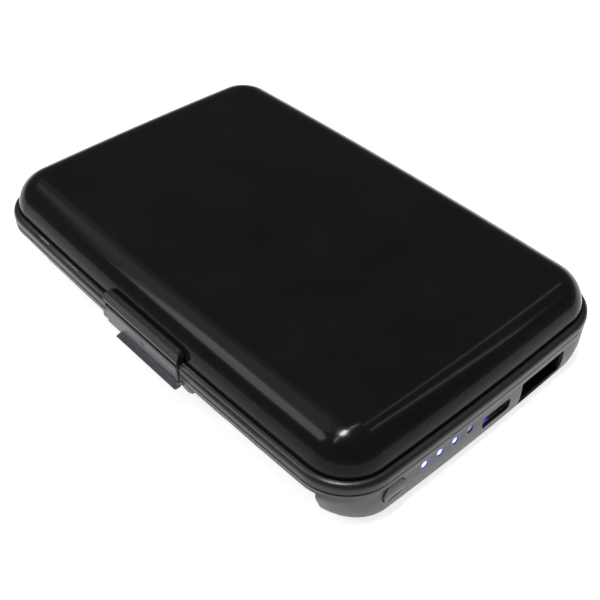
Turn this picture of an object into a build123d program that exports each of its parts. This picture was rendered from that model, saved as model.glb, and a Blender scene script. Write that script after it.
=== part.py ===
"""Hard-case card wallet with a power bank built into its lower half.

Millimetres, +Z up. The origin is on the underside, at the centre of the case's outline.
+X points to the end with the ports, -Y to the latch and +Y to the lid's hinge.
"""
from math import radians, sin
import os

from build123d import *

os.makedirs("parts", exist_ok=True)

# ---- case outline and heights -------------------------------------------------------
LENGTH = 112.0
WIDTH = 75.0
CORNER = 10.7            # plan corner radius of the flange
BOW_LONG = 1.0           # how far the long sides bulge out at their middle
BOW_SHORT = 0.7
SPLIT = 10.0             # height of the parting line
TOP = 19.5
PARTING_GAP = 0.4        # open line between the lid's flange and the base's flange

# ---- flanges and metal shells -------------------------------------------------------
FLANGE_INNER = 3.4       # inset of the flange rings' inner edge
LID_LIP_TOP = SPLIT + 2.3
LID_LIP_WIDTH = 1.25
LIP_ROUND = 1.1
SHELL_INSET = 1.4
WALL = 0.8
SHELL_ROUND = 7.1        # radius of the shells' big rounded edge
SHELL_SEAT = 1.6         # distance from the parting line to a shell's rim
SKIRT_INSET = 2.5        # outer inset of the skirts that stand inside the shells
SKIRT_REACH = 3.6        # distance from the parting line to the end of a skirt
BASE_LIP_LOW = SPLIT - 2.0
BASE_SHELL_INSET = 2.0
BASE_INNER = 4.2         # inset of the base ring's inner edge
BASE_SKIRT_INSET = 3.1

# ---- port block at the +X end -------------------------------------------------------
BLOCK_START = 48.2       # where the metal shell stops and the plastic block begins
BLOCK_INSET = 0.1
BLOCK_WALL = 1.6
BLOCK_FLOOR = 1.0
BLOCK_ROOF = 1.3
BLOCK_HIGH = 9.0
BLOCK_END = 3.6          # how far the end face curves inwards at its bottom edge
BLOCK_END_POWER = 4      # how late that curve starts: 2 is an ellipse, more is squarer
BLOCK_FLANK = 7.7        # how far the long flanks curve inwards on their way down
BLOCK_CORNER_LOSS = 0.78 # plan corner radius lost per millimetre that a flank moves in
BAY_START = 39.5         # back edge of the roof over the ports

# ---- circuit board and what stands on it --------------------------------------------
BOARD_LOW = 3.6
BOARD_THICK = 0.8
BOARD_TOP = BOARD_LOW + BOARD_THICK
BOARD_FRONT = 52.2
BOARD_BACK = 31.0
BOARD_HALF = 27.0
BOARD_TAB_HALF = 20.0
USB_A_Y = 16.5
USB_A_Z = 5.15
USB_A_WIDE = 13.1
USB_A_HIGH = 5.7
USB_A_DEEP = 14.0
USB_A_SHEET = 0.3
MICRO_Y = 2.45
MICRO_WIDE = 7.4
MICRO_HIGH = 2.45
MICRO_DEEP = 5.2
MICRO_SHEET = 0.25
SOCKET_MOUTH = 55.2      # x of both sockets' front edges
LED_COUNT = 4
LED_FIRST_Y = -17.3
LED_PITCH = 4.0
LED_Z = 7.25
LENS_RADIUS = 0.8
LENS_FRONT = 55.55

# ---- power button -------------------------------------------------------------------
BUTTON_Y = -24.8
BUTTON_Z = 6.65
BUTTON_WIDE = 5.1
BUTTON_HIGH = 4.0
BUTTON_CORNER = 1.8
BUTTON_GAP = 0.2
BUTTON_FRONT = 55.95
BUTTON_CROWN = 4.0       # radius of the button's rounded face, seen from its side
BUTTON_FLANGE_FRONT = 53.0
BUTTON_BACK = 52.4

# ---- battery, tray and inner floor --------------------------------------------------
TRAY_LOW = WALL + 0.05
TRAY_FLOOR = 0.6
CELL_LONG = 66.0
CELL_WIDE = 46.0
CELL_THICK = 3.7
CELL_X = -6.5
TAPE_THICK = 0.3
COVER_LOW = 5.55
COVER_THICK = 0.8
COVER_INSET = 3.2
COVER_END = 39.2
COVER_SCREWS = [(-43.0, -25.5), (-43.0, 25.5), (34.5, -25.0), (34.5, 25.0)]
BOARD_SCREWS = [(34.0, -16.0), (34.0, 16.0)]

# ---- card file ----------------------------------------------------------------------
POCKETS = 6
LEAF_THICK = 0.35
LEAF_LOW_X = -48.3
LEAF_HIGH_X = 38.5
LEAF_LOW_Y = -27.5
LEAF_HIGH_Y = 31.0
CARD_FLOOR_LOW = COVER_LOW + COVER_THICK + 0.02
TOP_LEAF_LOW = TOP - WALL - 0.6
LEAF_PITCH = (TOP_LEAF_LOW - CARD_FLOOR_LOW) / POCKETS
THUMB_RADIUS = 11.0

# ---- lid hinge ----------------------------------------------------------------------
HINGE_Y = 37.65
BARREL_RADIUS = 1.9
HINGE_PIN_RADIUS = 0.75
RUNNING = 0.05           # radial clearance of a shaft that turns
KNUCKLE = 5.0
KNUCKLE_GAP = 0.15
HINGE_X = 26.0

# ---- latch --------------------------------------------------------------------------
LATCH_X = 0.55           # middle of the latch
LATCH_HALF = 11.45
KEEPER_HALF = 11.9
BAY_HALF = 12.0
CHEEK = 1.6              # width of the left cheek that carries the latch's pin
BOSS = 4.1               # width of the rounded boss that carries it on the right
LATCH_PIVOT_Y = -36.75
LATCH_PIVOT_Z = 8.0
LATCH_PIN_RADIUS = 0.5
LATCH_HUB_RADIUS = 0.95
LATCH_TOP = 11.45
LATCH_FACE_Y = -37.85
KEEPER_LOW = 12.5
KEEPER_TOP = 15.4
KEEPER_ROOT = 11.9       # height at which the keeper grows out of the lid's lip
LEDGE = (-6.4, 12.6)     # x limits of the thumb ledge
LEDGE_MIDDLE = (-38.4, 7.4)
LEDGE_UP = (0, -0.42, 1.35)
HOOK_SPACING = 8.0


def outline(inset, height):
    """Return the case's plan outline at a height, moved in by inset."""
    far_x = LENGTH / 2 - inset
    far_y = WIDTH / 2 - inset
    near_x = far_x - BOW_SHORT
    near_y = far_y - BOW_LONG
    with BuildSketch(Plane.XY.offset(height), mode=Mode.PRIVATE) as plan:
        with BuildLine():
            ThreePointArc((-near_x, -near_y), (0, -far_y), (near_x, -near_y))
            ThreePointArc((near_x, -near_y), (far_x, 0), (near_x, near_y))
            ThreePointArc((near_x, near_y), (0, far_y), (-near_x, near_y))
            ThreePointArc((-near_x, near_y), (-far_x, 0), (-near_x, -near_y))
        make_face()
        fillet(plan.vertices(), radius=CORNER - inset)
    return plan.sketch


def dish(inset, low, high, edge_radius, round_top):
    """Return a solid of the case's outline with its top or bottom edge rounded."""
    with BuildPart(mode=Mode.PRIVATE) as solid:
        extrude(outline(inset, low), amount=high - low)
        level = -1 if round_top else 0
        fillet(solid.faces().sort_by(Axis.Z)[level].edges(), radius=edge_radius)
    return solid.part


def slab(x_range, y_range, z_range):
    """Return a plain box between three pairs of limits."""
    size = [high - low for low, high in (x_range, y_range, z_range)]
    middle = [(high + low) / 2 for low, high in (x_range, y_range, z_range)]
    with BuildPart(mode=Mode.PRIVATE) as solid:
        with Locations(tuple(middle)):
            Box(*size)
    return solid.part


def rod(start, end, radius, axis_plane):
    """Return a cylinder along X between two x values, centred on a point of the YZ plane."""
    with BuildPart(mode=Mode.PRIVATE) as solid:
        with BuildSketch(Plane.YZ.offset(start)):
            with Locations(axis_plane):
                Circle(radius)
        extrude(amount=end - start)
    return solid.part


def knuckle_spans(owner):
    """Return the x spans of the hinge knuckles of the base or the lid."""
    step = KNUCKLE + KNUCKLE_GAP
    offsets = (0,) if owner == "lid" else (-step, step)
    middles = [side * HINGE_X + offset for side in (-1, 1) for offset in offsets]
    return [(middle - KNUCKLE / 2, middle + KNUCKLE / 2) for middle in middles]


def latch_span(half):
    """Return the x limits of something that reaches equally far to both sides of the latch's middle."""
    return (LATCH_X - half, LATCH_X + half)


def save(builder, name):
    """Label a finished piece and write it to its own file."""
    builder.part.label = name
    export_step(builder.part, f"parts/{name}.step")


HINGE_POINT = (HINGE_Y, SPLIT)
LATCH_POINT = (LATCH_PIVOT_Y, LATCH_PIVOT_Z)
LID_LOW = SPLIT + PARTING_GAP / 2
BASE_HIGH = SPLIT - PARTING_GAP / 2
MICRO_Z = BOARD_TOP + MICRO_HIGH / 2

# ==== lid ============================================================================

lid_skin = dish(SHELL_INSET, SPLIT + SHELL_SEAT, TOP, SHELL_ROUND, True)
lid_hollow = dish(SHELL_INSET + WALL, SPLIT + SHELL_SEAT, TOP - WALL, SHELL_ROUND - WALL, True)

with BuildPart() as lid_shell:
    add(lid_skin)
    add(lid_hollow, mode=Mode.SUBTRACT)
save(lid_shell, "lid_shell")

# The keeper is the upper half of the latch: a plate that stands just off the lid's flank.
with BuildPart(mode=Mode.PRIVATE) as keeper:
    with BuildSketch(Plane.YZ.offset(LATCH_X - KEEPER_HALF)):
        with BuildLine():
            Polyline(
                (-36.25, KEEPER_ROOT), (-36.75, KEEPER_ROOT), (-37.5, KEEPER_LOW), (-37.85, KEEPER_LOW + 0.3),
                (-37.85, 13.3), (-37.2, 14.7), (-36.5, KEEPER_TOP), (-35.95, 15.0), (-36.25, 12.4), close=True,
            )
        make_face()
    extrude(amount=2 * KEEPER_HALF)
    with BuildSketch(Plane.XZ.offset(30)):
        with Locations((LATCH_X, (KEEPER_LOW + KEEPER_TOP) / 2 - 1.0)):
            RectangleRounded(2 * KEEPER_HALF, KEEPER_TOP - KEEPER_LOW + 2.0, 1.5)
    extrude(amount=10, mode=Mode.INTERSECT)

lid_lip = dish(0, LID_LOW, LID_LIP_TOP, LIP_ROUND, True)
latch_notch_lid = slab(latch_span(BAY_HALF), (-40, -36.75), (LID_LOW, KEEPER_ROOT))

with BuildPart() as lid_frame:
    add(lid_lip)
    extrude(outline(LID_LIP_WIDTH, SPLIT + SHELL_SEAT), amount=3, mode=Mode.SUBTRACT)
    extrude(outline(SKIRT_INSET, SPLIT + SHELL_SEAT), amount=SKIRT_REACH - SHELL_SEAT)
    extrude(outline(FLANGE_INNER, LID_LOW), amount=5, mode=Mode.SUBTRACT)
    add(keeper.part)
    add(latch_notch_lid, mode=Mode.SUBTRACT)
    for hook_x in latch_span(HOOK_SPACING):
        # Pocket that the latch's hook snaps into.
        with Locations((hook_x, -36.5, 11.0)):
            Box(5.0, 0.6, 0.8, mode=Mode.SUBTRACT)
    for low, high in knuckle_spans("base"):
        add(rod(low - KNUCKLE_GAP, high + KNUCKLE_GAP, BARREL_RADIUS + 0.15, HINGE_POINT), mode=Mode.SUBTRACT)
    for low, high in knuckle_spans("lid"):
        add(rod(low, high, BARREL_RADIUS, HINGE_POINT))
        add(slab((low, high), (34.6, HINGE_Y), (LID_LOW, SPLIT + SHELL_SEAT)))
        add(rod(low, high, HINGE_PIN_RADIUS + RUNNING, HINGE_POINT), mode=Mode.SUBTRACT)
save(lid_frame, "lid_frame")

# ==== base: metal shell and plastic frame ============================================

shell_rim = SPLIT - SHELL_SEAT
base_skin = dish(BASE_SHELL_INSET, 0, shell_rim, SHELL_ROUND, False)
base_hollow = dish(BASE_SHELL_INSET + WALL, WALL, shell_rim, SHELL_ROUND - WALL, False)
latch_bay = slab(latch_span(BAY_HALF), (-40, -35.3), (6.2, SPLIT))

with BuildPart() as lower_shell:
    add(base_skin)
    add(base_hollow, mode=Mode.SUBTRACT)
    add(slab((BLOCK_START, 60), (-40, 40), (-1, 12)), mode=Mode.SUBTRACT)
    add(latch_bay, mode=Mode.SUBTRACT)
save(lower_shell, "lower_shell")


def block_section(height, wall):
    """Return the port block's plan at a height, moved in by the thickness of its wall."""
    drop = max(0, BLOCK_HIGH - height) / BLOCK_HIGH
    flank_in = BLOCK_FLANK * (1 - (1 - drop**2) ** 0.5)
    end_in = BLOCK_END * (1 - (1 - drop**BLOCK_END_POWER) ** (1 / BLOCK_END_POWER))
    half_wide = WIDTH / 2 - BLOCK_INSET - flank_in - wall
    end_x = LENGTH / 2 - BLOCK_INSET - end_in - wall
    corner = CORNER - BLOCK_INSET - BLOCK_CORNER_LOSS * flank_in - 0.8 * wall
    back_x = BLOCK_START - 8
    shoulder_x = end_x - BOW_SHORT
    with BuildSketch(Plane.XY.offset(height), mode=Mode.PRIVATE) as plan:
        with BuildLine():
            Line((shoulder_x, -half_wide + BOW_LONG), (back_x, -half_wide + BOW_LONG / 3))
            Line((back_x, -half_wide + BOW_LONG / 3), (back_x, half_wide - BOW_LONG / 3))
            Line((back_x, half_wide - BOW_LONG / 3), (shoulder_x, half_wide - BOW_LONG))
            ThreePointArc((shoulder_x, half_wide - BOW_LONG), (end_x, 0), (shoulder_x, -half_wide + BOW_LONG))
        make_face()
        fillet(plan.vertices().sort_by(Axis.X)[2:], radius=corner)
    return plan.sketch


def block_form(low, high, wall):
    """Return the port block's form between two heights, lofted through its plans."""
    steps = [high - (high - low) * sin(radians(angle)) for angle in (0, 18, 36, 52, 65, 76, 84, 90)]
    with BuildPart(mode=Mode.PRIVATE) as solid:
        loft([block_section(height, wall) for height in reversed(steps)])
    return solid.part


block_skin = block_form(0, BLOCK_HIGH, 0)
block_rim = block_section(BLOCK_HIGH, 0)
block_hollow = block_form(BLOCK_FLOOR, BASE_HIGH - BLOCK_ROOF, BLOCK_WALL)
behind_block = slab((-60, BLOCK_START + 0.1), (-40, 40), (-1, 12))
base_lip = dish(0, BASE_LIP_LOW, BASE_HIGH, 0.9, False)
ahead_of_lip = slab((BLOCK_START + 0.9, 60), (-40, 40), (-1, 12))

with BuildPart(mode=Mode.PRIVATE) as port_block:
    add(block_skin)
    extrude(block_rim, amount=BASE_HIGH - BLOCK_HIGH)
    fillet(port_block.faces().sort_by(Axis.Z)[-1].edges().filter_by(lambda edge: edge.center().X > 0), radius=0.2)
    add(behind_block, mode=Mode.SUBTRACT)
    add(block_hollow, mode=Mode.SUBTRACT)

with BuildPart(mode=Mode.PRIVATE) as bay_roof:
    extrude(outline(BLOCK_INSET + 1.0, BASE_HIGH - BLOCK_ROOF), amount=BLOCK_ROOF)
    add(slab((-60, BAY_START), (-40, 40), (0, 12)), mode=Mode.SUBTRACT)

with BuildPart(mode=Mode.PRIVATE) as base_skirt:
    extrude(outline(BASE_SKIRT_INSET, SPLIT - SKIRT_REACH), amount=SKIRT_REACH - SHELL_SEAT)
    add(slab((BLOCK_START, 60), (-40, 40), (-1, 12)), mode=Mode.SUBTRACT)

with BuildPart() as base_frame:
    add(base_lip)
    extrude(outline(BASE_SHELL_INSET - 0.1, 0), amount=shell_rim, mode=Mode.SUBTRACT)
    add(ahead_of_lip, mode=Mode.SUBTRACT)
    add(base_skirt.part)
    extrude(outline(BASE_INNER, 0), amount=12, mode=Mode.SUBTRACT)
    add(port_block.part)
    add(bay_roof.part)
    add(latch_bay, mode=Mode.SUBTRACT)
    # A cheek and a boss at the two ends of the latch bay carry the latch's pin.
    bay_low, bay_high = latch_span(BAY_HALF)
    add(slab((bay_low - CHEEK, bay_low), (-37.35, -36.15), (7.2, BASE_HIGH)))
    with BuildSketch(Plane.XZ.offset(36.15)):
        with BuildLine():
            ThreePointArc((bay_high, 7.6), (bay_high + BOSS / 2, 7.0), (bay_high + BOSS, BASE_LIP_LOW + 0.3))
            Line((bay_high + BOSS, BASE_LIP_LOW + 0.3), (bay_high, BASE_LIP_LOW + 0.3))
            Line((bay_high, BASE_LIP_LOW + 0.3), (bay_high, 7.6))
        make_face()
    extrude(amount=1.2)
    add(slab((bay_high, bay_high + CHEEK), (-37.35, -36.15), (BASE_LIP_LOW, BASE_HIGH)))
    add(rod(bay_low - 1.5, bay_high + 1.5, LATCH_PIN_RADIUS, LATCH_POINT), mode=Mode.SUBTRACT)
    # Mouths of the two sockets, the light holes and the button's hole.
    with BuildSketch(Plane.YZ.offset(50)):
        with Locations((USB_A_Y, USB_A_Z)):
            RectangleRounded(USB_A_WIDE + 0.14, USB_A_HIGH + 0.14, 0.5)
        with Locations((MICRO_Y, MICRO_Z)):
            RectangleRounded(MICRO_WIDE + 0.6, MICRO_HIGH + 0.5, 0.9)
        for number in range(LED_COUNT):
            with Locations((LED_FIRST_Y + number * LED_PITCH, LED_Z)):
                Circle(LENS_RADIUS + 0.02)
        with Locations((BUTTON_Y, BUTTON_Z)):
            RectangleRounded(
                BUTTON_WIDE + 2 * BUTTON_GAP, BUTTON_HIGH + 2 * BUTTON_GAP, BUTTON_CORNER + BUTTON_GAP
            )
    extrude(amount=8, mode=Mode.SUBTRACT)
    for low, high in knuckle_spans("lid"):
        add(rod(low - KNUCKLE_GAP, high + KNUCKLE_GAP, BARREL_RADIUS + 0.15, HINGE_POINT), mode=Mode.SUBTRACT)
    for low, high in knuckle_spans("base"):
        add(rod(low, high, BARREL_RADIUS, HINGE_POINT))
        add(slab((low, high), (34.6, HINGE_Y), (SPLIT - SHELL_SEAT, BASE_HIGH)))
        add(rod(low, high, HINGE_PIN_RADIUS, HINGE_POINT), mode=Mode.SUBTRACT)
save(base_frame, "base_frame")

with BuildPart() as hinge_pins:
    for side in (-1, 1):
        reach = 1.5 * KNUCKLE + KNUCKLE_GAP - 0.1
        middle = side * HINGE_X
        add(rod(middle - reach, middle + reach, HINGE_PIN_RADIUS, HINGE_POINT))
save(hinge_pins, "hinge_pins")

# ==== latch ==========================================================================

with BuildPart() as latch_lever:
    with BuildSketch(Plane.YZ.offset(LATCH_X - LATCH_HALF)):
        with BuildLine():
            Polyline(
                (-37.0, LATCH_TOP), (LATCH_FACE_Y, LATCH_TOP), (LATCH_FACE_Y, 7.5), (-37.5, 7.1),
                (-36.9, 7.1), (-36.75, 7.3), (-36.75, 8.6), (-37.0, 9.4), close=True,
            )
        make_face()
    extrude(amount=2 * LATCH_HALF)
    fillet(latch_lever.faces().sort_by(Axis.Y)[0].edges(), radius=0.3)
    add(rod(*latch_span(LATCH_HALF), LATCH_HUB_RADIUS, LATCH_POINT))
    # Thumb ledge: it stands out from the plate's foot and slopes down a little.
    with BuildSketch(Plane.YZ.offset(LEDGE[0])):
        with BuildLine():
            Polyline(
                (-37.6, 7.65), (-38.95, 7.23), (-38.95, 7.08), (-38.6, 6.88), (-37.6, 6.88),
                (-37.25, 7.3), close=True,
            )
        make_face()
    extrude(amount=LEDGE[1] - LEDGE[0])
    # Hooks that hold the lid's frame down.
    for hook_x in latch_span(HOOK_SPACING):
        with Locations((hook_x, -36.8, 11.05)):
            Box(4.0, 0.7, 0.5)
    add(rod(*latch_span(LATCH_HALF), LATCH_PIN_RADIUS + RUNNING, LATCH_POINT), mode=Mode.SUBTRACT)
    # Fine grid of grip grooves in the ledge's sloping face.
    groove_count = 27
    groove_pitch = (LEDGE[1] - LEDGE[0] - 1.0) / (groove_count - 1)
    for number in range(groove_count):
        groove_x = LEDGE[0] + 0.5 + number * groove_pitch
        with Locations(Plane((groove_x, *LEDGE_MIDDLE), x_dir=(1, 0, 0), z_dir=LEDGE_UP)):
            Box(groove_pitch / 2.5, 0.85, 0.2, mode=Mode.SUBTRACT)
    for along_slope in (-0.2, 0.2):
        groove_place = (sum(LEDGE) / 2, LEDGE_MIDDLE[0] + along_slope, LEDGE_MIDDLE[1] + 0.31 * along_slope)
        with Locations(Plane(groove_place, x_dir=(1, 0, 0), z_dir=LEDGE_UP)):
            Box(LEDGE[1] - LEDGE[0] - 1.0, 0.13, 0.2, mode=Mode.SUBTRACT)
    # The hub is cut away in the middle for the return spring.
    add(rod(*latch_span(2.2), LATCH_HUB_RADIUS + 0.1, LATCH_POINT), mode=Mode.SUBTRACT)
save(latch_lever, "latch_lever")

with BuildPart() as latch_pin:
    add(rod(bay_low - 1.5, bay_high + 1.5, LATCH_PIN_RADIUS, LATCH_POINT))
save(latch_pin, "latch_pin")

SPRING_WIRE = 0.13
SPRING_RADIUS = LATCH_PIN_RADIUS + SPRING_WIRE + 0.06
with BuildPart() as latch_spring:
    turns = 14
    for number in range(turns):
        turn_x = LATCH_X + (number - (turns - 1) / 2) * 1.9 * SPRING_WIRE
        with Locations(Plane((turn_x, LATCH_PIVOT_Y, LATCH_PIVOT_Z), x_dir=(0, 1, 0), z_dir=(1, 0, 0))):
            Torus(SPRING_RADIUS, SPRING_WIRE)
save(latch_spring, "latch_spring")

# ==== battery, tray and inner floor ==================================================


def pan_head_screws(places, seat, shank_low, head_radius, shank_radius):
    """Return a group of pan head screws standing in holes along Z."""
    with BuildPart(mode=Mode.PRIVATE) as screws:
        for x, y in places:
            with BuildSketch(Plane.XY.offset(shank_low)):
                with Locations((x, y)):
                    Circle(shank_radius)
            extrude(amount=seat - shank_low)
            with BuildSketch(Plane.XY.offset(seat)):
                with Locations((x, y)):
                    Circle(head_radius)
            extrude(amount=0.55)
            with BuildSketch(Plane.XY.offset(seat + 0.25)):
                with Locations((x, y)):
                    Rectangle(1.1, 0.3)
                    Rectangle(0.3, 1.1)
            extrude(amount=0.4, mode=Mode.SUBTRACT)
    return screws.part


tray_top = TRAY_LOW + TRAY_FLOOR
with BuildPart() as battery_tray:
    add(slab((-45.8, 38.5), (-28.0, 28.0), (TRAY_LOW, tray_top)))
    fillet(battery_tray.edges().filter_by(Axis.Z), radius=3.0)
    for x, y in COVER_SCREWS:
        with BuildSketch(Plane.XY.offset(tray_top)):
            with Locations((x, y)):
                Circle(2.0)
        extrude(amount=COVER_LOW - tray_top)
    for x, y in BOARD_SCREWS:
        with BuildSketch(Plane.XY.offset(tray_top)):
            with Locations((x, y)):
                Circle(1.8)
        extrude(amount=BOARD_LOW - tray_top)
    # Ribs that keep the cell from sliding.
    for side in (-1, 1):
        rib_y = side * (CELL_WIDE / 2 + 0.8)
        add(slab((CELL_X - 24, CELL_X + 24), (rib_y - 0.4, rib_y + 0.4), (tray_top, tray_top + 2.4)))
    for x, y in COVER_SCREWS + BOARD_SCREWS:
        with BuildSketch(Plane.XY.offset(tray_top)):
            with Locations((x, y)):
                Circle(0.7)
        extrude(amount=6, mode=Mode.SUBTRACT)
save(battery_tray, "battery_tray")

cell_low = tray_top + TAPE_THICK
with BuildPart() as cell_tape:
    add(slab((CELL_X - 28, CELL_X + 28), (-18, 18), (tray_top, cell_low)))
save(cell_tape, "cell_tape")

with BuildPart() as battery_cell:
    cell_span = (CELL_X - CELL_LONG / 2, CELL_X + CELL_LONG / 2)
    add(slab(cell_span, (-CELL_WIDE / 2, CELL_WIDE / 2), (cell_low, cell_low + CELL_THICK)))
    fillet(battery_cell.edges().filter_by(Axis.X), radius=1.2)
    fillet(battery_cell.faces().sort_by(Axis.X)[0].edges(), radius=0.5)
save(battery_cell, "battery_cell")

with BuildPart() as cell_protection_board:
    board_x = CELL_X + CELL_LONG / 2 + 0.1
    add(slab((board_x, board_x + 0.6), (-11.0, 11.0), (cell_low + 0.4, cell_low + 3.2)))
    for part_y in (-7.0, 0.0, 5.5):
        add(slab((board_x + 0.6, board_x + 1.2), (part_y - 1.2, part_y + 1.2), (cell_low + 1.0, cell_low + 2.4)))
save(cell_protection_board, "cell_protection_board")

with BuildPart() as cell_foam_pad:
    add(slab((CELL_X - 24, CELL_X + 24), (-14, 14), (cell_low + CELL_THICK, COVER_LOW)))
save(cell_foam_pad, "cell_foam_pad")

with BuildPart() as battery_cover:
    extrude(outline(COVER_INSET, COVER_LOW), amount=COVER_THICK)
    add(slab((COVER_END, 60), (-40, 40), (0, 12)), mode=Mode.SUBTRACT)
    for x, y in COVER_SCREWS:
        with BuildSketch(Plane.XY.offset(0)):
            with Locations((x, y)):
                Circle(0.85)
        extrude(amount=12, mode=Mode.SUBTRACT)
save(battery_cover, "battery_cover")

with BuildPart() as cover_screws:
    for x, y in COVER_SCREWS:
        with BuildSketch(Plane.XY.offset(2.2)):
            with Locations((x, y)):
                Circle(0.7)
        extrude(amount=COVER_LOW + COVER_THICK - 2.2)
        with BuildSketch(Plane.XY.offset(COVER_LOW + COVER_THICK)):
            with Locations((x, y)):
                Circle(1.4)
        extrude(amount=0.5)
        with BuildSketch(Plane.XY.offset(COVER_LOW + COVER_THICK + 0.2)):
            with Locations((x, y)):
                Rectangle(1.5, 0.35)
                Rectangle(0.35, 1.5)
        extrude(amount=0.4, mode=Mode.SUBTRACT)
save(cover_screws, "cover_screws")

# ==== circuit board ==================================================================

with BuildPart() as circuit_board:
    add(slab((BAY_START + 0.3, BOARD_FRONT), (-BOARD_HALF, BOARD_HALF), (BOARD_LOW, BOARD_TOP)))
    add(slab((BOARD_BACK, BAY_START + 0.3), (-BOARD_TAB_HALF, BOARD_TAB_HALF), (BOARD_LOW, BOARD_TOP)))
    notch_half = USB_A_WIDE / 2 + 0.1
    socket_back = SOCKET_MOUTH - USB_A_DEEP - 0.1
    add(slab((socket_back, 60), (USB_A_Y - notch_half, USB_A_Y + notch_half), (0, 12)), mode=Mode.SUBTRACT)
    for x, y in BOARD_SCREWS:
        with BuildSketch(Plane.XY):
            with Locations((x, y)):
                Circle(0.85)
        extrude(amount=12, mode=Mode.SUBTRACT)
save(circuit_board, "circuit_board")

with BuildPart() as board_screws:
    add(pan_head_screws(BOARD_SCREWS, BOARD_TOP, 2.0, 1.3, 0.7))
save(board_screws, "board_screws")

# ---- USB-A output -------------------------------------------------------------------
with BuildPart() as usb_a_shell:
    with BuildSketch(Plane.YZ.offset(SOCKET_MOUTH)):
        with Locations((USB_A_Y, USB_A_Z)):
            RectangleRounded(USB_A_WIDE, USB_A_HIGH, 0.5)
    extrude(amount=-USB_A_DEEP)
    with BuildSketch(Plane.YZ.offset(SOCKET_MOUTH)):
        with Locations((USB_A_Y, USB_A_Z)):
            RectangleRounded(USB_A_WIDE - 2 * USB_A_SHEET, USB_A_HIGH - 2 * USB_A_SHEET, 0.2)
    extrude(amount=0.3 - USB_A_DEEP, mode=Mode.SUBTRACT)
save(usb_a_shell, "usb_a_shell")

tongue_back = SOCKET_MOUTH - USB_A_DEEP + 0.35
tongue_low = USB_A_Z + 0.2
with BuildPart() as usb_a_tongue:
    inner_half = USB_A_WIDE / 2 - USB_A_SHEET - 0.05
    inner_low = USB_A_Z - USB_A_HIGH / 2 + USB_A_SHEET + 0.05
    inner_high = USB_A_Z + USB_A_HIGH / 2 - USB_A_SHEET - 0.05
    add(slab((tongue_back, tongue_back + 2.4), (USB_A_Y - inner_half, USB_A_Y + inner_half), (inner_low, inner_high)))
    add(slab((tongue_back, SOCKET_MOUTH - 0.9), (USB_A_Y - 5.55, USB_A_Y + 5.55), (tongue_low, tongue_low + 1.8)))
save(usb_a_tongue, "usb_a_tongue")

with BuildPart() as usb_a_contacts:
    for offset_y in (-3.5, -1.0, 1.0, 3.5):
        contact_y = USB_A_Y + offset_y
        add(slab((tongue_back + 2.5, SOCKET_MOUTH - 1.4), (contact_y - 0.5, contact_y + 0.5),
                 (tongue_low - 0.15, tongue_low)))
save(usb_a_contacts, "usb_a_contacts")

# ---- micro-USB input ----------------------------------------------------------------
with BuildSketch(Plane.YZ.offset(SOCKET_MOUTH), mode=Mode.PRIVATE) as micro_profile:
    with Locations((MICRO_Y, MICRO_Z)):
        Rectangle(MICRO_WIDE, MICRO_HIGH)
    lower_corners = micro_profile.vertices().sort_by(Axis.Z)[:2]
    chamfer(lower_corners, length=0.95)
    fillet(micro_profile.vertices(), radius=0.3)

with BuildPart() as micro_usb_shell:
    extrude(micro_profile.sketch, amount=-MICRO_DEEP)
    extrude(offset(micro_profile.sketch, amount=-MICRO_SHEET, mode=Mode.PRIVATE),
            amount=0.3 - MICRO_DEEP, mode=Mode.SUBTRACT)
save(micro_usb_shell, "micro_usb_shell")

with BuildPart() as micro_usb_tongue:
    micro_back = SOCKET_MOUTH - MICRO_DEEP + 0.35
    add(slab((micro_back, micro_back + 0.9), (MICRO_Y - 2.2, MICRO_Y + 2.2), (MICRO_Z - 0.8, MICRO_Z + 0.9)))
    add(slab((micro_back, SOCKET_MOUTH - 0.6), (MICRO_Y - 1.85, MICRO_Y + 1.85), (MICRO_Z - 0.1, MICRO_Z + 0.5)))
save(micro_usb_tongue, "micro_usb_tongue")

# ---- charge lights ------------------------------------------------------------------
with BuildPart() as charge_leds:
    for number in range(LED_COUNT):
        led_y = LED_FIRST_Y + number * LED_PITCH
        add(slab((50.4, 51.2), (led_y - 0.8, led_y + 0.8), (BOARD_TOP, BOARD_TOP + 0.6)))
save(charge_leds, "charge_leds")

with BuildPart() as light_guide:
    bar_high = LED_FIRST_Y + (LED_COUNT - 1) * LED_PITCH + 1.4
    add(slab((50.2, 51.6), (LED_FIRST_Y - 1.4, bar_high), (BOARD_TOP + 0.7, LED_Z + 1.0)))
    for number in range(LED_COUNT):
        led_y = LED_FIRST_Y + number * LED_PITCH
        add(rod(51.6, LENS_FRONT, LENS_RADIUS, (led_y, LED_Z)))
save(light_guide, "light_guide")

# ---- switch and button --------------------------------------------------------------
SWITCH_FRONT = 51.5
with BuildPart() as power_switch:
    add(slab((SWITCH_FRONT - 2.6, SWITCH_FRONT), (BUTTON_Y - 2.2, BUTTON_Y + 2.2), (BOARD_TOP, BOARD_TOP + 3.1)))
    add(rod(SWITCH_FRONT - 1.4, SWITCH_FRONT + 1, 0.95, (BUTTON_Y, BUTTON_Z)), mode=Mode.SUBTRACT)
save(power_switch, "power_switch")

with BuildPart() as switch_plunger:
    add(rod(SWITCH_FRONT - 0.9, BUTTON_BACK - 0.05, 0.85, (BUTTON_Y, BUTTON_Z)))
save(switch_plunger, "switch_plunger")

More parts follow.
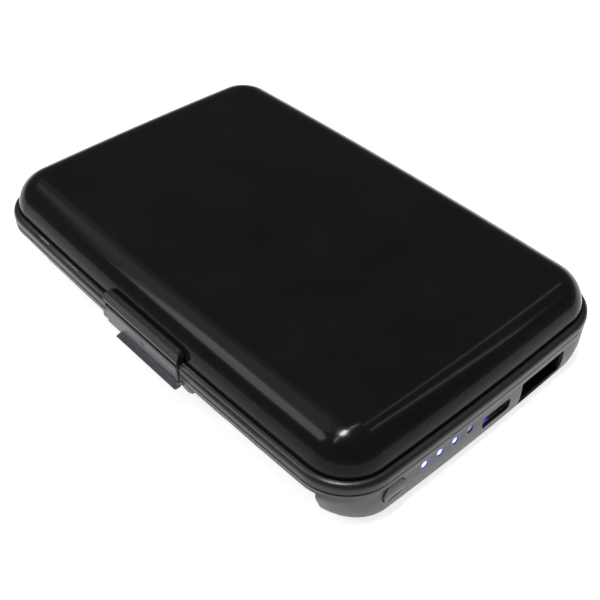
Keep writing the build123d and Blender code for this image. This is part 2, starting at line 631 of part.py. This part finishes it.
with BuildPart() as power_button:
    with BuildSketch(Plane.YZ.offset(BUTTON_FLANGE_FRONT)):
        with Locations((BUTTON_Y, BUTTON_Z)):
            RectangleRounded(BUTTON_WIDE, BUTTON_HIGH, BUTTON_CORNER)
    extrude(amount=BUTTON_FRONT - BUTTON_FLANGE_FRONT)
    fillet(power_button.faces().sort_by(Axis.X)[-1].edges(), radius=0.3)
    with Locations((BUTTON_FRONT - BUTTON_CROWN, BUTTON_Y, BUTTON_Z)):
        Cylinder(BUTTON_CROWN, 2 * BUTTON_WIDE, rotation=(90, 0, 0), mode=Mode.INTERSECT)
    with BuildSketch(Plane.YZ.offset(BUTTON_BACK)):
        with Locations((BUTTON_Y, BUTTON_Z)):
            RectangleRounded(BUTTON_WIDE + 0.8, BUTTON_HIGH - 0.7, 0.8)
    extrude(amount=BUTTON_FLANGE_FRONT - BUTTON_BACK)
save(power_button, "power_button")

# ---- other board parts --------------------------------------------------------------
with BuildPart() as boost_inductor:
    add(slab((43.0, 48.6), (-2.8, 2.8), (BOARD_TOP, BOARD_TOP + 2.6)))
    fillet(boost_inductor.edges().filter_by(Axis.Z), radius=1.2)
save(boost_inductor, "boost_inductor")

with BuildPart() as charge_chip:
    add(slab((43.6, 48.5), (-12.0, -8.0), (BOARD_TOP, BOARD_TOP + 1.1)))
    for side in (-1, 1):
        for number in range(4):
            leg_x = 44.15 + number * 1.27
            leg_y = -10.0 + side * 2.5
            add(slab((leg_x - 0.2, leg_x + 0.2), (leg_y - 0.5, leg_y + 0.5), (BOARD_TOP, BOARD_TOP + 0.2)))
save(charge_chip, "charge_chip")

with BuildPart() as board_capacitors:
    for x, y in ((42.0, -15.5), (42.0, -18.5), (37.0, 6.0), (37.0, 9.5)):
        add(slab((x - 0.8, x + 0.8), (y - 1.0, y + 1.0), (BOARD_TOP, BOARD_TOP + 1.0)))
save(board_capacitors, "board_capacitors")

with BuildPart() as board_resistors:
    for number in range(5):
        y = -12.0 + number * 3.0
        add(slab((37.0, 38.6), (y - 0.4, y + 0.4), (BOARD_TOP, BOARD_TOP + 0.45)))
save(board_resistors, "board_resistors")

# ---- leads from the cell's protection board to the circuit board --------------------
LEAD_RADIUS = 0.4


def lead(start_y, end_y):
    """Return one insulated lead that runs between two places across the case."""
    tail = board_x + 0.62
    pad_z = BOARD_TOP + LEAD_RADIUS + 0.01
    lead_z = pad_z + 0.04
    points = [
        (tail, start_y, cell_low + 1.7), (tail + 1.9, start_y, cell_low + 1.75),
        (tail + 3.5, (start_y + end_y) / 2, lead_z), (tail + 5.4, end_y, pad_z), (tail + 8.0, end_y, pad_z),
    ]
    with BuildPart(mode=Mode.PRIVATE) as solid:
        with BuildLine(mode=Mode.PRIVATE) as route:
            FilletPolyline(*points, radius=[0.9, 0.9, 0.9])
        with BuildSketch(Plane(origin=route.line @ 0, z_dir=route.line % 0)):
            Circle(LEAD_RADIUS)
        sweep(path=route.line)
    return solid.part


with BuildPart() as red_lead:
    add(lead(-4.2, -6.0))
save(red_lead, "red_lead")

with BuildPart() as black_lead:
    add(lead(3.4, 2.6))
save(black_lead, "black_lead")

# ==== card file ======================================================================


def leaf(low_x, high_x, low_y, high_y, low_z):
    """Return one leaf of the card file, with a thumb notch in its front edge."""
    with BuildPart(mode=Mode.PRIVATE) as solid:
        with BuildSketch(Plane.XY.offset(low_z)) as plan:
            with Locations(((low_x + high_x) / 2, (low_y + high_y) / 2)):
                RectangleRounded(high_x - low_x, high_y - low_y, 3.0)
            with Locations(((low_x + high_x) / 2, low_y - THUMB_RADIUS / 2)):
                Circle(THUMB_RADIUS, mode=Mode.SUBTRACT)
        extrude(amount=LEAF_THICK)
    return solid.part


with BuildPart() as card_floor:
    add(leaf(LEAF_LOW_X + 1.0, LEAF_HIGH_X, LEAF_LOW_Y, LEAF_HIGH_Y, CARD_FLOOR_LOW))
    for x, y in COVER_SCREWS:
        with BuildSketch(Plane.XY):
            with Locations((x, y)):
                Circle(1.8)
        extrude(amount=12, mode=Mode.SUBTRACT)
save(card_floor, "card_floor")

for number in range(1, POCKETS):
    with BuildPart() as card_leaf:
        add(leaf(LEAF_LOW_X, LEAF_HIGH_X, LEAF_LOW_Y, LEAF_HIGH_Y, CARD_FLOOR_LOW + number * LEAF_PITCH))
    save(card_leaf, f"card_leaf_{number}")

with BuildPart() as card_top_leaf:
    add(leaf(-46.0, LEAF_HIGH_X, LEAF_LOW_Y + 0.5, LEAF_HIGH_Y - 3.5, TOP_LEAF_LOW))
save(card_top_leaf, "card_top_leaf")
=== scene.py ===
"""Looks of a hard-case card wallet with a built-in power bank.

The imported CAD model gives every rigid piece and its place. This script finishes their materials,
adds the folded sheets that join the card file's leaves and an arrow head on the latch, and sets
up the floor, the lights and the camera. Everything is in metres, in the CAD model's frame.
"""
import math

import bpy
from mathutils import Matrix, Vector


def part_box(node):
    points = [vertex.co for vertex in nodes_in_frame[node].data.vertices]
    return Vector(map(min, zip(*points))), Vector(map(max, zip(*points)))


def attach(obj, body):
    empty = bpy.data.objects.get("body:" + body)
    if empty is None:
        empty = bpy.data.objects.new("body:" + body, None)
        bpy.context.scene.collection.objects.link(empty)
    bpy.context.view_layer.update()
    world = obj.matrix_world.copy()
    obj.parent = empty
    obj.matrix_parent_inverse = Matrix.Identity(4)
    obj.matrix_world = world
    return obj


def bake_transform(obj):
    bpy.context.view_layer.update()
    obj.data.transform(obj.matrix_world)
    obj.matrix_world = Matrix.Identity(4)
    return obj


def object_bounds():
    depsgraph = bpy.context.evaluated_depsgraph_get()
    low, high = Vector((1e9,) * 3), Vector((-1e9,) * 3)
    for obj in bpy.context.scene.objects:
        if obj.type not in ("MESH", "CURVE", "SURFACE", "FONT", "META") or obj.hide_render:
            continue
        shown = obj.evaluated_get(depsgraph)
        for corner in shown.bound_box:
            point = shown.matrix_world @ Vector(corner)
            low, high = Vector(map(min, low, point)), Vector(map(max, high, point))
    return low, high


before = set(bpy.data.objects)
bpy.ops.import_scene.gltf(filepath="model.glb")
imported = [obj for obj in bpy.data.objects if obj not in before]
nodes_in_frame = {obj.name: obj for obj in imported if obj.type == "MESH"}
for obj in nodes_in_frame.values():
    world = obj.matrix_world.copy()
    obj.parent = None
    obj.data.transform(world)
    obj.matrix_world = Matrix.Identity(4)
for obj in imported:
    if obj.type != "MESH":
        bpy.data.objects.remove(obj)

cad_bounds = [list(corner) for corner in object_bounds()]
MM = 0.001
scene = bpy.context.scene


# ---- shader building blocks ---------------------------------------------------------

class Shader:
    """A node tree with short helpers for the few kinds of node that the finishes share."""

    def __init__(self, name):
        self.material = bpy.data.materials.new(name)
        self.material.use_nodes = True
        self.tree = self.material.node_tree
        self.surface = self.tree.nodes["Principled BSDF"]
        self.place = self.node("ShaderNodeTexCoord").outputs["Object"]

    def node(self, kind, **settings):
        made = self.tree.nodes.new(kind)
        for key, value in settings.items():
            setattr(made, key, value)
        return made

    def feed(self, value, socket):
        """Connect a socket, or set a plain number."""
        if isinstance(value, bpy.types.NodeSocket):
            self.tree.links.new(value, socket)
        else:
            socket.default_value = value

    def math(self, operation, first, second=0.0):
        made = self.node("ShaderNodeMath", operation=operation)
        self.feed(first, made.inputs[0])
        self.feed(second, made.inputs[1])
        return made.outputs[0]

    def noise(self, grain, detail=2.0, stretch=(1, 1, 1)):
        """Noise from 0 to 1 whose features are about grain metres long."""
        mapping = self.node("ShaderNodeMapping")
        mapping.inputs["Scale"].default_value = stretch
        self.feed(self.place, mapping.inputs["Vector"])
        made = self.node("ShaderNodeTexNoise")
        made.inputs["Scale"].default_value = 1 / grain
        made.inputs["Detail"].default_value = detail
        self.feed(mapping.outputs[0], made.inputs["Vector"])
        return made.outputs[0]

    def ramp(self, value, stops):
        """Colours along a value; stops are (position, colour or grey) pairs."""
        made = self.node("ShaderNodeValToRGB")
        elements = made.color_ramp.elements
        while len(elements) < len(stops):
            elements.new(0.5)
        for element, (position, colour) in zip(elements, stops):
            element.position = position
            if not isinstance(colour, tuple):
                colour = (colour,) * 3
            element.color = (*colour, 1)
        self.feed(value, made.inputs[0])
        return made.outputs[0]

    def mix(self, share, first, second):
        made = self.node("ShaderNodeMix", data_type="RGBA")
        self.feed(share, made.inputs["Factor"])
        self.feed(first, made.inputs[6])
        self.feed(second, made.inputs[7])
        return made.outputs[2]

    def bump(self, height, depth, strength=1.0, below=None):
        """Relief of a given depth in metres, on top of another relief if there is one."""
        made = self.node("ShaderNodeBump")
        made.inputs["Strength"].default_value = strength
        made.inputs["Distance"].default_value = depth
        self.feed(height, made.inputs["Height"])
        if below is not None:
            self.feed(below, made.inputs["Normal"])
        return made.outputs[0]


def shade(colour, factor):
    return tuple(min(1.0, channel * factor) for channel in colour)


def finish(name, colour, roughness, grain, depth, mottle=0.12, spread=0.12, metallic=0.0,
           specular=0.5, stretch=(1, 1, 1), edge=0.0):
    """Return a shader with grain relief, mottled colour and uneven roughness.

    grain and depth are the relief's size and height in metres, mottle is how much the colour
    varies, spread how much the roughness does, and edge the radius that sharp edges seem to have.
    """
    made = Shader(name)
    cloud = made.noise(grain * 40, 3.0)
    tone = made.ramp(cloud, [(0.3, shade(colour, 1 - mottle)), (0.7, shade(colour, 1 + mottle))])
    made.feed(tone, made.surface.inputs["Base Color"])
    fine = made.noise(grain, 3.0, stretch)
    low, high = roughness * (1 - spread), roughness * (1 + spread)
    made.feed(made.ramp(fine, [(0.25, low), (0.75, high)]), made.surface.inputs["Roughness"])
    below = None
    if edge:
        rounded = made.node("ShaderNodeBevel", samples=4)
        rounded.inputs["Radius"].default_value = edge
        below = rounded.outputs[0]
    made.feed(made.bump(fine, depth, 1.0, below), made.surface.inputs["Normal"])
    made.surface.inputs["Metallic"].default_value = metallic
    made.surface.inputs["Specular IOR Level"].default_value = specular
    return made


def wear(*names):
    """Give CAD nodes the finish of one shader."""
    def put(shader):
        for name in names:
            slots = nodes_in_frame[name].data.materials
            slots.clear()
            slots.append(shader.material)
        return shader
    return put


# ---- where the lights shine through the case ----------------------------------------

lens_low, lens_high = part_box("light_guide")
LENS_RADIUS = 0.8 * MM
BAR_MARGIN = 1.4 * MM              # from the guide's ends to the centres of its end lenses
LENS_BELOW_TOP = 1.0 * MM
LAST_LENS = 3
first_lens_y = lens_low.y + BAR_MARGIN
lens_pitch = (lens_high.y - lens_low.y - 2 * BAR_MARGIN) / LAST_LENS
lens_z = lens_high.z - LENS_BELOW_TOP


def lens_light(shader, reach):
    """Return a surface's distance from the nearest charge light, and whether that is the last one.

    The distance is 1 at reach metres. The second value is 1 around the last light and 0 elsewhere.
    """
    parts = shader.node("ShaderNodeSeparateXYZ")
    shader.feed(shader.place, parts.inputs[0])
    from_first = shader.math("SUBTRACT", parts.outputs["Y"], first_lens_y)
    along = shader.math("DIVIDE", from_first, lens_pitch)
    nearest = shader.math("MAXIMUM", shader.math("ROUND", along), 0.0)
    number = shader.math("MINIMUM", nearest, LAST_LENS)
    off_y = shader.math("MULTIPLY", shader.math("SUBTRACT", along, number), lens_pitch)
    off_z = shader.math("SUBTRACT", parts.outputs["Z"], lens_z)
    square_y = shader.math("MULTIPLY", off_y, off_y)
    square_z = shader.math("MULTIPLY", off_z, off_z)
    square = shader.math("ADD", square_y, square_z)
    distance = shader.math("DIVIDE", shader.math("SQRT", square), reach)
    return distance, shader.math("GREATER_THAN", number, LAST_LENS - 0.5)


# ---- finishes -----------------------------------------------------------------------

GLOSS = (0.0042, 0.0042, 0.0044)
wear("lid_shell", "lower_shell")(
    finish("black_gloss", GLOSS, 0.15, 0.4 * MM, 0.0006 * MM, mottle=0.15, spread=0.2, specular=0.10))

wear("lid_frame")(
    finish("frame_plastic", (0.008, 0.008, 0.0085), 0.30, 0.22 * MM, 0.005 * MM,
           specular=0.24, edge=0.12 * MM))

base_satin = wear("base_frame")(
    finish("frame_plastic_painted_halo", (0.024, 0.024, 0.0235), 0.42, 0.22 * MM, 0.006 * MM, edge=0.12 * MM))
# Painted light: the frame glows blue round the charge lights, standing in for the light they spill onto
# it. It is brighter round the first three lights and faint round the last.
PAINTED_HALO_REACH = 2.0 * MM
painted_halo, is_last = lens_light(base_satin, PAINTED_HALO_REACH)
painted_halo_blue = base_satin.ramp(
    painted_halo, [(0.38, (0.02, 0.02, 0.22)), (0.6, (0.003, 0.003, 0.03)), (1.0, 0.0)])
painted_halo_dim = base_satin.ramp(painted_halo, [(0.38, (0.004, 0.004, 0.04)), (1.0, 0.0)])
base_satin.feed(base_satin.mix(is_last, painted_halo_blue, painted_halo_dim), base_satin.surface.inputs["Emission Color"])
base_satin.surface.inputs["Emission Strength"].default_value = 1.0

wear("power_button")(
    finish("button_plastic", (0.026, 0.026, 0.027), 0.4, 0.2 * MM, 0.006 * MM, edge=0.12 * MM))

# The latch is a lighter plastic than the case. Its thumb ledge is darker and bluish: partly the grip's own
# colour, partly painted shade where the ledge sits in shadow.
LEDGE_FRONT = -37.9 * MM
LEDGE_TOP = 7.8 * MM
lever = wear("latch_lever")(
    finish("latch_plastic", (0.045, 0.046, 0.052), 0.4, 0.2 * MM, 0.006 * MM, edge=0.12 * MM))
lever_place = lever.node("ShaderNodeSeparateXYZ")
lever.feed(lever.place, lever_place.inputs[0])
on_ledge = lever.math(
    "MULTIPLY", lever.math("LESS_THAN", lever_place.outputs["Y"], LEDGE_FRONT),
    lever.math("LESS_THAN", lever_place.outputs["Z"], LEDGE_TOP))
lever_tone = lever.surface.inputs["Base Color"].links[0].from_socket
# Darker, bluish ledge colour: the grip's own colour with painted shade in it.
LEDGE_COLOUR_AND_PAINTED_SHADE = (0.006, 0.006, 0.012, 1)
lever.feed(lever.mix(on_ledge, lever_tone, LEDGE_COLOUR_AND_PAINTED_SHADE), lever.surface.inputs["Base Color"])

wear("hinge_pins", "latch_pin", "cover_screws", "board_screws", "latch_spring")(
    finish("steel", (0.60, 0.60, 0.61), 0.3, 0.15 * MM, 0.003 * MM, metallic=1.0, stretch=(0.15, 1, 1)))

wear("usb_a_shell")(
    finish("nickel", (0.06, 0.06, 0.058), 0.4, 0.3 * MM, 0.002 * MM, metallic=1.0))

wear("usb_a_contacts")(
    finish("gold", (0.80, 0.58, 0.22), 0.25, 0.2 * MM, 0.002 * MM, metallic=1.0))

wear("battery_tray", "battery_cover", "power_switch", "switch_plunger")(
    finish("tray_plastic", (0.03, 0.03, 0.032), 0.55, 0.3 * MM, 0.010 * MM))

wear("battery_cell")(
    finish("foil", (0.66, 0.66, 0.68), 0.35, 0.8 * MM, 0.02 * MM, metallic=0.9, mottle=0.05))

wear("cell_tape", "cell_foam_pad")(
    finish("foam", (0.04, 0.04, 0.04), 0.9, 0.35 * MM, 0.05 * MM, mottle=0.3))

wear("boost_inductor", "charge_chip", "cell_protection_board")(
    finish("chip", (0.022, 0.022, 0.024), 0.5, 0.15 * MM, 0.008 * MM))

wear("usb_a_tongue")(
    finish("socket_plastic", (0.012, 0.012, 0.013), 0.5, 0.2 * MM, 0.004 * MM))

wear("board_capacitors", "board_resistors")(
    finish("ceramic", (0.34, 0.25, 0.17), 0.45, 0.2 * MM, 0.004 * MM))

wear("red_lead")(finish("red_wire", (0.5, 0.025, 0.015), 0.45, 0.3 * MM, 0.004 * MM))
wear("black_lead")(finish("black_wire", (0.015, 0.015, 0.015), 0.45, 0.3 * MM, 0.004 * MM))

# The card file is of embossed sheet: a small dimple grid over the usual grain.
leaf_names = ["card_floor", "card_top_leaf"] + [f"card_leaf_{number}" for number in range(1, 6)]
leaf_sheet = wear(*leaf_names)(
    finish("leaf_plastic", (0.028, 0.028, 0.031), 0.5, 0.25 * MM, 0.008 * MM))
dimples = leaf_sheet.node("ShaderNodeTexVoronoi", feature="F1")
dimples.inputs["Scale"].default_value = 1 / (0.7 * MM)
dimples.inputs["Randomness"].default_value = 0.25
leaf_sheet.feed(leaf_sheet.place, dimples.inputs["Vector"])
leaf_normal = leaf_sheet.surface.inputs["Normal"]
leaf_grain = leaf_normal.links[0].from_socket
leaf_sheet.feed(leaf_sheet.bump(dimples.outputs["Distance"], 0.05 * MM, 0.5, leaf_grain), leaf_normal)

# Circuit board: solder mask over a faint pattern of tracks.
board = wear("circuit_board")(finish("board", (0.012, 0.11, 0.045), 0.3, 0.3 * MM, 0.003 * MM))
tracks = board.node("ShaderNodeTexBrick")
tracks.inputs["Scale"].default_value = 1 / (2.2 * MM)
tracks.inputs["Mortar Size"].default_value = 0.06
board.feed(board.place, tracks.inputs["Vector"])
board_tone = board.surface.inputs["Base Color"].links[0].from_socket
TRACK_COLOUR = (0.03, 0.2, 0.09, 1)
board.feed(board.mix(tracks.outputs["Fac"], board_tone, TRACK_COLOUR), board.surface.inputs["Base Color"])

# Charge lights: the first three lenses are lit white in a blue rim, the last glows a faint blue.
lens = wear("light_guide")(finish("light_plastic", (0.5, 0.6, 0.8), 0.2, 0.2 * MM, 0.001 * MM))
core, is_last = lens_light(lens, LENS_RADIUS)
lit = lens.ramp(core, [
    (0.0, (1.0, 1.0, 1.0)), (0.5, (0.75, 0.8, 1.0)), (0.75, (0.06, 0.07, 0.5)), (1.0, (0.02, 0.025, 0.25)),
])
faint = lens.ramp(core, [(0.0, (0.02, 0.022, 0.14)), (1.0, (0.004, 0.005, 0.035))])
lens.feed(lens.mix(is_last, lit, faint), lens.surface.inputs["Emission Color"])
lens.surface.inputs["Emission Strength"].default_value = 2.0

led = wear("charge_leds")(finish("led", (0.6, 0.65, 0.8), 0.4, 0.2 * MM, 0.002 * MM))
led.surface.inputs["Emission Color"].default_value = (0.3, 0.45, 1.0, 1)
led.surface.inputs["Emission Strength"].default_value = 2.0

# Painted light: the shell and tongue of the micro-USB socket glow blue at their near (-Y) end, standing in
# for a blue lamp behind the socket shining through there.
micro_low, micro_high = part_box("micro_usb_shell")
PAINTED_GLOW_REACH = 2.6 * MM


def paint_socket_glow(shader, strength):
    """Paint the blue glow at the -Y end of the micro-USB socket onto a shader, as emission."""
    offset = shader.node("ShaderNodeVectorMath", operation="DISTANCE")
    shader.feed(shader.place, offset.inputs[0])
    offset.inputs[1].default_value = (
        micro_high.x - 0.8 * MM, micro_low.y + 0.6 * MM, micro_low.z + 0.9 * MM)
    near = shader.math("DIVIDE", offset.outputs["Value"], PAINTED_GLOW_REACH)
    patchy = shader.math("MULTIPLY", near, shader.math("ADD", shader.noise(0.9 * MM), 0.5))
    painted_glow = shader.ramp(patchy, [(0.0, (0.25, 0.3, 1.0)), (0.4, (0.04, 0.05, 0.5)), (1.0, 0.0)])
    shader.feed(painted_glow, shader.surface.inputs["Emission Color"])
    shader.surface.inputs["Emission Strength"].default_value = strength


paint_socket_glow(wear("micro_usb_shell")(
    finish("micro_nickel", (0.30, 0.30, 0.31), 0.35, 0.3 * MM, 0.002 * MM, metallic=1.0)), 1.0)
paint_socket_glow(wear("micro_usb_tongue")(
    finish("micro_plastic", (0.012, 0.012, 0.014), 0.5, 0.2 * MM, 0.004 * MM)), 1.0)


# ---- pieces made here ---------------------------------------------------------------

def mesh_piece(name, vertices, faces, shader, smooth=True):
    """Return a new object with one finish."""
    mesh = bpy.data.meshes.new(name)
    mesh.from_pydata([tuple(vertex) for vertex in vertices], [], faces)
    mesh.validate()
    mesh.shade_smooth() if smooth else mesh.shade_flat()
    mesh.materials.append(shader.material)
    made = bpy.data.objects.new(name, mesh)
    scene.collection.objects.link(made)
    return made


def sheet_solid(grid, thickness, vertices, faces):
    """Append a thin closed solid that follows a grid of points."""
    rows, columns = len(grid), len(grid[0])
    start = len(vertices)

    def normal(row, column):
        before, after = max(row - 1, 0), min(row + 1, rows - 1)
        left, right = max(column - 1, 0), min(column + 1, columns - 1)
        down = grid[after][column] - grid[before][column]
        across = grid[row][right] - grid[row][left]
        return down.cross(across).normalized()

    for side in (-0.5, 0.5):
        for row in range(rows):
            for column in range(columns):
                vertices.append(grid[row][column] + normal(row, column) * side * thickness)

    def at(side, row, column):
        return start + (side * rows + row) * columns + column

    for row in range(rows - 1):
        for column in range(columns - 1):
            corners = [(row, column), (row, column + 1), (row + 1, column + 1), (row + 1, column)]
            faces.append([at(1, *corner) for corner in corners])
            faces.append([at(0, *corner) for corner in reversed(corners)])
    rim = [(0, column) for column in range(columns)]
    rim += [(row, columns - 1) for row in range(1, rows)]
    rim += [(rows - 1, column) for column in range(columns - 2, -1, -1)]
    rim += [(row, 0) for row in range(rows - 2, 0, -1)]
    for here, following in zip(rim, rim[1:] + rim[:1]):
        faces.append([at(0, *here), at(0, *following), at(1, *following), at(1, *here)])


# Folded sheets join each leaf of the card file to the next: a gusset at both ends, shallow at
# the spine and deep at the front, and a short strip along the spine.
SHEET = 0.10 * MM
LEAF_GAP = 0.03 * MM       # between a fold and the leaves it joins
FRONT_INSET = 0.8 * MM     # how far the folds stay inside the leaves' edges
SIDE_INSET = 0.5 * MM
BACK_INSET = 0.6 * MM
SPINE_INSET = 0.4 * MM
SHALLOW = 0.6 * MM         # depth of a gusset at the spine, and how much deeper it is in front
DEEPER = 8.0 * MM
SPINE_BULGE = 0.8 * MM
FOLD_STEPS = 8
GUSSET_ROWS = 24
SPINE_COLUMNS = 20
leaf_chain = ["card_floor"] + [f"card_leaf_{number}" for number in range(1, 6)] + ["card_top_leaf"]
gusset_sheet = finish("gusset_sheet", (0.03, 0.03, 0.034), 0.55, 0.25 * MM, 0.01 * MM)

for number in range(len(leaf_chain) - 1):
    lower_low, lower_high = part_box(leaf_chain[number])
    upper_low, upper_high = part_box(leaf_chain[number + 1])
    bottom = lower_high.z + LEAF_GAP
    top = upper_low.z - LEAF_GAP
    front = max(lower_low.y, upper_low.y) + FRONT_INSET
    back = min(lower_high.y, upper_high.y) - BACK_INSET
    vertices, faces = [], []
    for side in (-1, 1):
        if side < 0:
            edge_x = max(lower_low.x, upper_low.x) + SIDE_INSET
        else:
            edge_x = min(lower_high.x, upper_high.x) - SIDE_INSET
        grid = []
        for row in range(GUSSET_ROWS + 1):
            y = front + (back - front) * row / GUSSET_ROWS
            depth = SHALLOW + DEEPER * (1 - row / GUSSET_ROWS)
            line = []
            for step in range(FOLD_STEPS + 1):
                rise = step / FOLD_STEPS
                inward = depth * (1 - abs(2 * rise - 1) ** 1.5)
                line.append(Vector((edge_x - side * inward, y, bottom + (top - bottom) * rise)))
            grid.append(line)
        sheet_solid(grid, SHEET, vertices, faces)
    spine_y = min(lower_high.y, upper_high.y) - SPINE_INSET
    spine_low = max(lower_low.x, upper_low.x) + BACK_INSET
    spine_high = min(lower_high.x, upper_high.x) - BACK_INSET
    grid = []
    for step in range(FOLD_STEPS + 1):
        rise = step / FOLD_STEPS
        y = spine_y + SPINE_BULGE * math.sin(math.pi * rise)
        z = bottom + (top - bottom) * rise
        line = []
        for column in range(SPINE_COLUMNS + 1):
            line.append(Vector((spine_low + (spine_high - spine_low) * column / SPINE_COLUMNS, y, z)))
        grid.append(line)
    sheet_solid(grid, SHEET, vertices, faces)
    fold = mesh_piece(f"file_fold_{number + 1}", vertices, faces, gusset_sheet)
    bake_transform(fold)

# A plain raised arrow head on the latch's plate shows which way it opens.
lever_low, lever_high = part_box("latch_lever")
ARROW_FACE = -37.85 * MM   # y of the plate's front
ARROW_HEIGHT = 0.72        # where the tip is, as a share of the lever's height
ARROW_HALF = 0.9 * MM
ARROW_STROKE = 0.32 * MM * 1.6
ARROW_PROUD = 0.10 * MM
ARROW_SUNK = 0.2 * MM
ARROW_TAPER = 0.85         # the raised face is this much smaller than its foot
arrow_x = (lever_low.x + lever_high.x) / 2
arrow_z = lever_low.z + ARROW_HEIGHT * (lever_high.z - lever_low.z)
outline = [
    (-ARROW_HALF, -ARROW_HALF), (0, 0), (ARROW_HALF, -ARROW_HALF),
    (ARROW_HALF, -ARROW_HALF + ARROW_STROKE), (0, ARROW_STROKE), (-ARROW_HALF, -ARROW_HALF + ARROW_STROKE),
]
vertices = []
for off_face, scale in ((-ARROW_PROUD, ARROW_TAPER), (ARROW_SUNK, 1.0)):
    for x, z in outline:
        vertices.append((x * scale + arrow_x, off_face + ARROW_FACE, z * scale + arrow_z))
points = len(outline)
faces = [list(range(points)), list(range(2 * points - 1, points - 1, -1))]
for here in range(points):
    following = (here + 1) % points
    faces.append([here + points, following + points, following, here])
arrow = mesh_piece("latch_arrow", vertices, faces, lever, smooth=False)
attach(arrow, "latch")

# ---- floor and light ----------------------------------------------------------------

floor_finish = finish("floor", (0.45, 0.45, 0.455), 0.7, 8 * MM, 0.02 * MM, mottle=0.01)
away = floor_finish.node("ShaderNodeVectorMath", operation="LENGTH")
floor_finish.feed(floor_finish.place, away.inputs[0])
FADE_REACH = 1.2
far = floor_finish.math("DIVIDE", away.outputs["Value"], FADE_REACH)
fade = floor_finish.ramp(far, [(0.3, 0.8), (1.0, 0.25)])
floor_finish.feed(fade, floor_finish.surface.inputs["Emission Color"])
floor_finish.surface.inputs["Emission Strength"].default_value = 1.0
FLOOR_HALF = 6.0
floor_z = cad_bounds[0][2] - 0.05 * MM
floor_mesh = bpy.data.meshes.new("floor")
floor_mesh.from_pydata(
    [(x * FLOOR_HALF, y * FLOOR_HALF, floor_z) for x, y in ((-1, -1), (1, -1), (1, 1), (-1, 1))],
    [], [(0, 1, 2, 3)])
floor_mesh.materials.append(floor_finish.material)
floor = bpy.data.objects.new("floor", floor_mesh)
scene.collection.objects.link(floor)

world = bpy.data.worlds.new("studio")
world.use_nodes = True
scene.world = world
sky = world.node_tree
direction = sky.nodes.new("ShaderNodeTexCoord")
split = sky.nodes.new("ShaderNodeSeparateXYZ")
levels = sky.nodes.new("ShaderNodeValToRGB")
levels.color_ramp.elements[0].position = 0.05
levels.color_ramp.elements[0].color = (0.30, 0.30, 0.31, 1)
levels.color_ramp.elements[1].position = 0.30
levels.color_ramp.elements[1].color = (0.10, 0.10, 0.10, 1)
sky.links.new(direction.outputs["Generated"], split.inputs[0])
sky.links.new(split.outputs["Z"], levels.inputs[0])
sky.links.new(levels.outputs[0], sky.nodes["Background"].inputs["Color"])


def area_light(name, place, size, power, aim=(0, 0, 0.01)):
    """A soft rectangular light that faces a point; size is its two sides."""
    light = bpy.data.lights.new(name, "AREA")
    light.shape = "RECTANGLE"
    light.size, light.size_y = size
    light.energy = power
    made = bpy.data.objects.new(name, light)
    facing = (Vector(aim) - Vector(place)).normalized()
    made.rotation_mode = "QUATERNION"
    made.rotation_quaternion = facing.to_track_quat("-Z", "Y")
    made.location = place
    scene.collection.objects.link(made)
    return made


area_light("key", (0.04, -0.16, 1.2), (0.12, 0.34), 15.0)
area_light("key_streak", (0.03, -0.15, 1.1), (0.04, 1.3), 4.0)
area_light("flank_strip", (-0.46, -0.66, 0.70), (0.52, 0.34), 4.0)
area_light("flank_haze", (-0.52, -0.24, 0.78), (0.55, 0.55), 0.9)
area_light("flank_haze_wide", (-0.55, -0.14, 0.84), (0.8, 0.8), 1.0)
area_light("tube_near", (0.13, 0.74, 1.0), (0.05, 0.6), 0.45)
area_light("tube_far", (0.66, 0.78, 1.0), (0.05, 0.6), 0.70)

# ---- camera -------------------------------------------------------------------------

CAMERA_PLACE = Vector((0.1166, -0.1044, 0.1405))
CAMERA_AIM = Vector((0.0122, -0.0069, 0.0100))
CAMERA_ROLL = math.radians(0.88)
camera_data = bpy.data.cameras.new("camera")
camera_data.sensor_width = 36.0
camera_data.lens = 57.6
camera_data.clip_start = 0.005
camera = bpy.data.objects.new("camera", camera_data)
scene.collection.objects.link(camera)
forward = (CAMERA_AIM - CAMERA_PLACE).normalized()
level_right = forward.cross(Vector((0, 0, 1))).normalized()
level_up = level_right.cross(forward)
right = level_right * math.cos(CAMERA_ROLL) + level_up * math.sin(CAMERA_ROLL)
up = right.cross(forward)
camera.matrix_world = Matrix((
    (right.x, up.x, -forward.x, CAMERA_PLACE.x),
    (right.y, up.y, -forward.y, CAMERA_PLACE.y),
    (right.z, up.z, -forward.z, CAMERA_PLACE.z),
    (0, 0, 0, 1),
))
scene.camera = camera
scene.view_settings.view_transform = "Standard"
